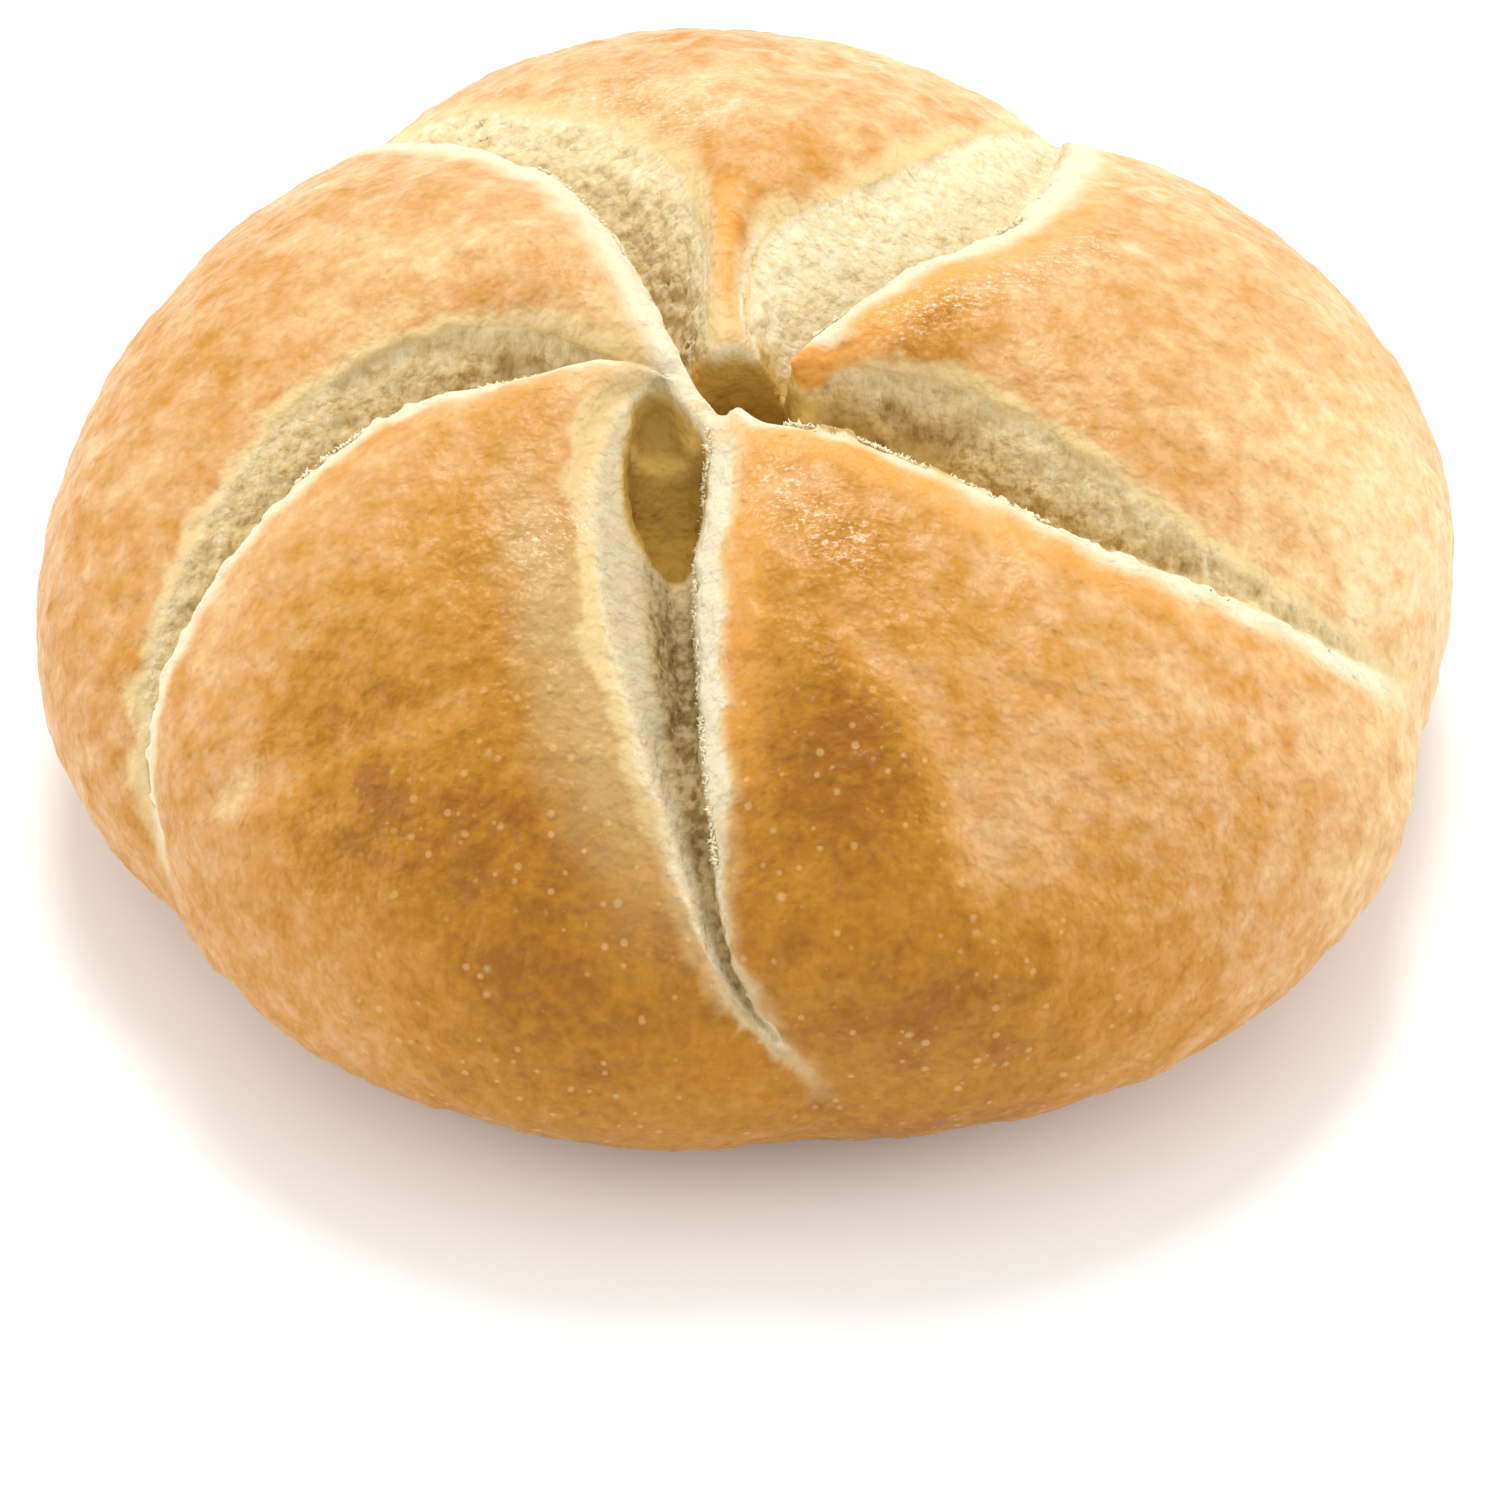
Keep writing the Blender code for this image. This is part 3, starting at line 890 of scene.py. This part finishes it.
TOP_ISLAND = (0.47, 0.53, 0.46)
UNDERSIDE_ISLAND = (0.875, 0.125, 0.12)
LAST_CLIMB = 116.0


def add_bake_map(mesh):
    """A map for baking: the top opened out about the star's axis, and the underside as its own disc."""
    places = np.empty(len(mesh.vertices) * 3, np.float32)
    mesh.vertices.foreach_get("co", places)
    places = places.reshape(-1, 3) / MM + [middle[0], middle[1], 0]
    _, bearing, climb = star_coordinates(places)
    turn = np.radians(bearing)
    reach = (np.minimum(climb, LAST_CLIMB) / LAST_CLIMB) ** 1.15
    x, y, size = TOP_ISLAND
    top = np.stack([x + size * reach * np.cos(turn), y + size * reach * np.sin(turn)], 1)
    x, y, size = UNDERSIDE_ISLAND
    below = np.stack([x - size * places[:, 0] / HALF_WIDTH, y + size * places[:, 1] / HALF_WIDTH], 1)
    corner = np.empty(len(mesh.loops), np.int32)
    mesh.loops.foreach_get("vertex_index", corner)
    flat = (places[corner, 2] < 0.02).reshape(-1, 3).all(1)
    where = np.where(np.repeat(flat, 3)[:, None], below[corner], top[corner])
    layer = mesh.uv_layers.new(name="OFBake")
    layer.data.foreach_set("uv", where.astype(np.float32).ravel())


describe(mesh)
add_bake_map(mesh)


def linear(red, green, blue):
    """A colour as a screen shows it, from 0 to 255, as the renderer wants it."""
    parts = [value / 255 for value in (red, green, blue)]
    return tuple(v / 12.92 if v <= 0.04045 else ((v + 0.055) / 1.055) ** 2.4 for v in parts) + (1.0,)


class Nodes:
    """Short names for making and joining a material's nodes."""

    def __init__(self, name):
        self.material = bpy.data.materials.new(name)
        self.material.use_nodes = True
        self.tree = self.material.node_tree
        self.shader = self.tree.nodes["Principled BSDF"]
        self.place = self.new("ShaderNodeTexCoord").outputs["Object"]

    def new(self, kind, **settings):
        node = self.tree.nodes.new(kind)
        for key, value in settings.items():
            setattr(node, key, value)
        return node

    def join(self, source, socket):
        if hasattr(source, "is_linked"):
            self.tree.links.new(source, socket)
        else:
            socket.default_value = source

    def attribute(self, name):
        return self.new("ShaderNodeAttribute", attribute_name=name).outputs["Fac"]

    def noise(self, size, detail=3.0, rough=0.55, stretch=None):
        """Noise between 0 and 1 whose blobs are about this many millimetres across."""
        node = self.new("ShaderNodeTexNoise")
        place = self.place
        if stretch:
            mapping = self.new("ShaderNodeMapping")
            self.join(self.place, mapping.inputs["Vector"])
            mapping.inputs["Scale"].default_value = stretch
            place = mapping.outputs["Vector"]
        self.join(place, node.inputs["Vector"])
        node.inputs["Scale"].default_value = 1 / (size * MM)
        node.inputs["Detail"].default_value = detail
        node.inputs["Roughness"].default_value = rough
        return node.outputs["Fac"]

    def math(self, operation, a, b=0.0, c=0.0, clamp=False):
        node = self.new("ShaderNodeMath", operation=operation, use_clamp=clamp)
        for socket, value in zip(node.inputs, (a, b, c)):
            self.join(value, socket)
        return node.outputs["Value"]

    def dots(self, spacing, size, where):
        """Round dots between 0 and 1, about this far apart and of this size as a share of that."""
        node = self.new("ShaderNodeTexVoronoi")
        self.join(self.place, node.inputs["Vector"])
        node.inputs["Scale"].default_value = 1 / (spacing * MM)
        chance = self.new("ShaderNodeSeparateColor")
        self.join(node.outputs["Color"], chance.inputs["Color"])
        reach = self.math("MULTIPLY", chance.outputs["Red"], size)
        dot = self.math("DIVIDE", self.math("SUBTRACT", reach, node.outputs["Distance"]), 0.12, clamp=True)
        return self.math("MULTIPLY", dot, where)

    def soft_above(self, value, low, high):
        node = self.new("ShaderNodeMapRange")
        self.join(value, node.inputs["Value"])
        node.inputs["From Min"].default_value = low
        node.inputs["From Max"].default_value = high
        return node.outputs["Result"]

    def web(self, size):
        """A web of rounded cells, 1 at their rims and 0 well inside them."""
        shift = self.new("ShaderNodeTexNoise")
        self.join(self.place, shift.inputs["Vector"])
        shift.inputs["Scale"].default_value = 1 / (size * MM)
        bent = self.new("ShaderNodeVectorMath", operation="MULTIPLY_ADD")
        self.join(shift.outputs["Color"], bent.inputs[0])
        bent.inputs[1].default_value = (size * MM,) * 3
        self.join(self.place, bent.inputs[2])
        node = self.new("ShaderNodeTexVoronoi", feature="DISTANCE_TO_EDGE")
        self.join(bent.outputs["Vector"], node.inputs["Vector"])
        node.inputs["Scale"].default_value = 1 / (size * MM)
        return self.soft_above(node.outputs["Distance"], 0.25, 0.0)

    def around(self, value, middle, amount):
        """The value's distance from a middle, times an amount."""
        return self.math("MULTIPLY", self.math("SUBTRACT", value, middle), amount)

    def ramp(self, value, stops):
        node = self.new("ShaderNodeValToRGB")
        self.join(value, node.inputs["Fac"])
        elements = node.color_ramp.elements
        while len(elements) < len(stops):
            elements.new(0.5)
        for element, (place, colour) in zip(elements, stops):
            element.position = place
            element.color = colour
        return node.outputs["Color"]

    def mix(self, factor, a, b):
        node = self.new("ShaderNodeMix", data_type="RGBA")
        self.join(factor, node.inputs["Factor"])
        self.join(a, node.inputs["A"])
        self.join(b, node.inputs["B"])
        return node.outputs["Result"]

    def bump(self, height, distance, strength, normal=None):
        node = self.new("ShaderNodeBump")
        self.join(height, node.inputs["Height"])
        node.inputs["Distance"].default_value = distance * MM
        node.inputs["Strength"].default_value = strength
        if normal:
            self.join(normal, node.inputs["Normal"])
        return node.outputs["Normal"]


def crust_material():
    n = Nodes("crust")
    mottle = n.noise(2.6, 3.0, 0.55)
    grain = n.noise(0.8, 2.0, 0.5)
    patches = n.noise(11.0, 2.0)
    # The browning with its painted shading, varied by noise, picks the crust's colour
    brown_and_painted_shading = n.math("ADD", n.attribute("brown_and_painted_shading"), n.around(patches, 0.5, 0.5))
    blotches = n.math("SUBTRACT", 0.9, n.math("MULTIPLY", n.attribute("calm"), 0.45))
    brown_and_painted_shading = n.math("ADD", brown_and_painted_shading, n.math("MULTIPLY", n.math("SUBTRACT", mottle, 0.5), blotches))
    brown_and_painted_shading = n.math("ADD", brown_and_painted_shading, n.around(grain, 0.5, 0.4))
    crust = n.ramp(
        brown_and_painted_shading,
        (
            (0.0, linear(226, 198, 150)),
            (0.2, linear(212, 174, 117)),
            (0.4, linear(201, 152, 92)),
            (0.6, linear(191, 134, 52)),
            (0.8, linear(174, 117, 16)),
            (1.0, linear(150, 94, 8)),
        ),
    )
    orange = n.math("MULTIPLY", n.attribute("orange"), n.around(mottle, -0.2, 1.1), clamp=True)
    crust = n.mix(orange, crust, linear(226, 158, 72))
    # Painted shade: a greener, darker crust colour in the strip beside the front cut and on the pale tip
    olive_painted_shade = n.math("MULTIPLY", n.attribute("olive_painted_shade"), 0.7)
    crust = n.mix(olive_painted_shade, crust, linear(188, 160, 104))
    pale = n.math("MULTIPLY", n.attribute("pale"), 0.85)
    crust = n.mix(pale, crust, linear(216, 192, 138))
    blister = n.dots(2.2, 0.2, n.attribute("blisters"))
    crust = n.mix(n.math("MULTIPLY", blister, 0.45), crust, linear(220, 184, 126))
    # Pale dots, thicker on the front: partly flour-like specks, partly painted glints of the glossy crust
    flour_and_glint_dots = n.dots(1.2, 0.3, n.math("ADD", n.math("MULTIPLY", n.attribute("blisters"), 0.8), 0.2))
    crust = n.mix(n.math("MULTIPLY", flour_and_glint_dots, 0.4), crust, linear(224, 186, 124))
    # Painted highlights: pale streaks mixed into the crust's colour along the lines where glossy wrinkles would
    # glint
    glints = n.soft_above(n.noise(0.45, 3.0, 0.65, stretch=(1.0, 1.6, 1.0)), 0.52, 0.7)
    glints = n.math("MULTIPLY", glints, n.attribute("painted_glints"))
    crust = n.mix(glints, crust, linear(236, 208, 176))
    fibres = n.noise(0.8, 4.0, 0.65, stretch=(1.0, 1.0, 0.25))
    web = n.web(1.5)
    # The crumb's tone with the painted shade that grows with its depth, varied by fibres, picks the crumb's
    # colour
    deep = n.math("ADD", n.attribute("deep"), n.around(fibres, 0.5, 1.6))
    deep = n.math("SUBTRACT", deep, n.around(web, 0.4, 0.12), clamp=True)
    crumb = n.ramp(
        deep,
        (
            (0.0, linear(228, 216, 184)),
            (0.4, linear(218, 198, 154)),
            (0.8, linear(198, 170, 116)),
            (1.0, linear(166, 134, 74)),
        ),
    )
    grey = n.math("MULTIPLY", n.attribute("grey"), 0.8)
    crumb = n.mix(grey, crumb, n.mix(fibres, linear(202, 186, 152), linear(170, 152, 116)))
    crumb = n.mix(n.attribute("bright"), crumb, n.mix(fibres, linear(226, 219, 196), linear(212, 200, 164)))
    # Painted shade: the hollows' colour, painted darker where the shade is deepest
    painted_pit_shade = n.mix(n.attribute("painted_pit_shade"), linear(212, 178, 94), linear(160, 124, 46))
    # Partly painted shade: crumb deep in the cuts, behind the right cut's near lip and near the hole takes the
    # hollows' greener, darker colour, which the hole and pocket walls partly have of their own
    crumb = n.mix(n.attribute("hollow"), crumb, painted_pit_shade)
    # The front cut's floor: real pores, and a darker colour painted as shade
    pores = n.soft_above(n.noise(0.8, 2.0, 0.5), 0.42, 0.62)
    pores = n.math("MULTIPLY", pores, n.attribute("trough_pores_and_shade"))
    crumb = n.mix(n.attribute("trough_pores_and_shade"), crumb, n.mix(pores, linear(184, 162, 116), linear(140, 110, 62)))
    n.join(n.mix(n.attribute("crumb"), crust, crumb), n.shader.inputs["Base Color"])
    rough = n.math("ADD", 0.42, n.around(mottle, 0.5, 0.3))
    rough_mix = n.new("ShaderNodeMix", data_type="FLOAT")
    n.join(n.attribute("crumb"), rough_mix.inputs["Factor"])
    n.join(rough, rough_mix.inputs["A"])
    rough_mix.inputs["B"].default_value = 0.9
    n.join(rough_mix.outputs["Result"], n.shader.inputs["Roughness"])
    wrinkles = n.bump(n.noise(1.5, 2.0, 0.5), 0.65, 0.9)
    fine = n.bump(n.noise(0.5, 2.0, 0.5), 0.12, 0.9, wrinkles)
    fine = n.bump(blister, 0.15, 0.8, fine)
    torn = n.math("MULTIPLY", n.math("ADD", n.math("MULTIPLY", web, -0.12), fibres), n.attribute("crumb"))
    torn = n.math("MULTIPLY", torn, n.math("SUBTRACT", 1.0, n.attribute("hollow")))
    fine = n.bump(torn, 0.35, 0.7, fine)
    n.join(fine, n.shader.inputs["Normal"])
    n.shader.inputs["Specular IOR Level"].default_value = 0.3
    n.shader.inputs["Subsurface Weight"].default_value = 0.1
    n.shader.inputs["Subsurface Radius"].default_value = (1.0, 0.5, 0.2)
    n.shader.inputs["Subsurface Scale"].default_value = 2 * MM
    return n.material


mesh.materials.clear()
mesh.materials.append(crust_material())
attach(roll, "root")
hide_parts("bread_roll")


# Torn crumbs: in which cut, how many, shares of the way across, climbs and lengths
CRUMBS = (
    ("right", 700, (0.95, 1.03), (9, 40), (0.2, 0.5)),
    ("right", 160, (0.95, 1.05), (12.5, 16.5), (0.2, 0.45)),
    ("back_right", 500, (0.96, 1.02), (12, 45), (0.2, 0.45)),
    ("back_left", 300, (0.96, 1.02), (12, 45), (0.15, 0.35)),
    ("left", 600, (0.95, 1.03), (16, 50), (0.2, 0.5)),
    ("front", 500, (0.78, 0.84), (8, 60), (0.2, 0.45)),
)
SLIMNESS = (0.22, 0.5)
CRUMB_CORNERS = np.array(((1, 0, 0), (-1, 0, 0), (0, 1, 0), (0, -1, 0), (0, 0, 1), (0, 0, -1)), float)
CRUMB_SIDES = np.array(
    ((0, 2, 4), (2, 1, 4), (1, 3, 4), (3, 0, 4), (2, 0, 5), (1, 2, 5), (3, 1, 5), (0, 3, 5))
)


def crumb_pieces():
    """The corners and sides of all the loose crumbs that cling to the cuts."""
    corners, sides = [], []
    for name, count, shares, climbs, sizes in CRUMBS:
        cut = next(c for c in CUTS if c["name"] == name)
        place, _ = spots_in_cut(cut, count, shares, climbs)
        for centre in place:
            shape = CRUMB_CORNERS * rng.uniform(0.5, 1.2, (6, 1)) * rng.uniform(*sizes)
            shape[:, :2] *= rng.uniform(*SLIMNESS, 2)
            turn, _ = np.linalg.qr(rng.normal(size=(3, 3)))
            if np.linalg.det(turn) < 0:
                turn[:, 0] *= -1
            sides.append(CRUMB_SIDES + 6 * len(corners))
            corners.append(shape @ turn.T + centre)
    return np.concatenate(corners), np.concatenate(sides)


def crumb_material():
    n = Nodes("torn_crumb")
    colour = n.ramp(
        n.noise(0.9, 3.0),
        ((0.3, linear(236, 226, 198)), (0.7, linear(228, 212, 172))),
    )
    n.join(colour, n.shader.inputs["Base Color"])
    n.shader.inputs["Roughness"].default_value = 0.9
    n.shader.inputs["Specular IOR Level"].default_value = 0.2
    return n.material


corners, sides = crumb_pieces()
corners = corners - [middle[0], middle[1], 0]
crumbs = bpy.data.objects.new("torn_crumbs", mesh_of("torn_crumbs", corners * MM, sides))
bpy.context.scene.collection.objects.link(crumbs)
crumbs.data.materials.append(crumb_material())
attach(crumbs, "root")

# --------------------------------------------------------------------------------------------
# Floor, light and camera
# --------------------------------------------------------------------------------------------

bpy.ops.mesh.primitive_plane_add(size=6.0, location=(0, 0, 0))
floor = bpy.context.active_object
floor.name = "floor"
floor_material = bpy.data.materials.new("floor")
floor_material.use_nodes = True
floor_shader = floor_material.node_tree.nodes["Principled BSDF"]
floor_shader.inputs["Base Color"].default_value = (0.95, 0.965, 0.985, 1)
floor_shader.inputs["Roughness"].default_value = 0.6
floor.data.materials.append(floor_material)

WORLD_STRENGTH = 0.93
scene = bpy.context.scene
world = bpy.data.worlds.new("studio")
scene.world = world
world.use_nodes = True
world.node_tree.nodes["Background"].inputs["Color"].default_value = (1.0, 0.975, 0.94, 1)
world.node_tree.nodes["Background"].inputs["Strength"].default_value = WORLD_STRENGTH
scene.view_settings.view_transform = "Standard"


def area_light(name, place, aim, size, power, colour=(1, 1, 1)):
    lamp = bpy.data.lights.new(name, "AREA")
    lamp.shape = "DISK"
    lamp.size = size
    lamp.energy = power
    lamp.color = colour
    holder = bpy.data.objects.new(name, lamp)
    scene.collection.objects.link(holder)
    holder.location = place
    holder.rotation_euler = (Vector(aim) - Vector(place)).to_track_quat("-Z", "Y").to_euler()
    return holder


area_light("key", (0.0, 0.48, 0.8), (0, 0, 0.02), 0.42, 5.2)
area_light("left", (-0.9, -0.1, 0.35), (0, 0, 0.02), 0.8, 2.7)
area_light("right", (0.9, -0.1, 0.35), (0, 0, 0.02), 0.8, 3.1)

camera_data = bpy.data.cameras.new("camera")
camera_data.lens = 172.4
camera_data.sensor_width = 36
camera = bpy.data.objects.new("camera", camera_data)
scene.collection.objects.link(camera)
shift = Vector((-middle[0] * MM, -middle[1] * MM, 0))
camera.location = Vector((0, -0.3612, 0.3921)) + shift
camera.rotation_euler = (Vector((0, 0, -0.0037)) + shift - camera.location).to_track_quat("-Z", "Y").to_euler()
scene.camera = camera
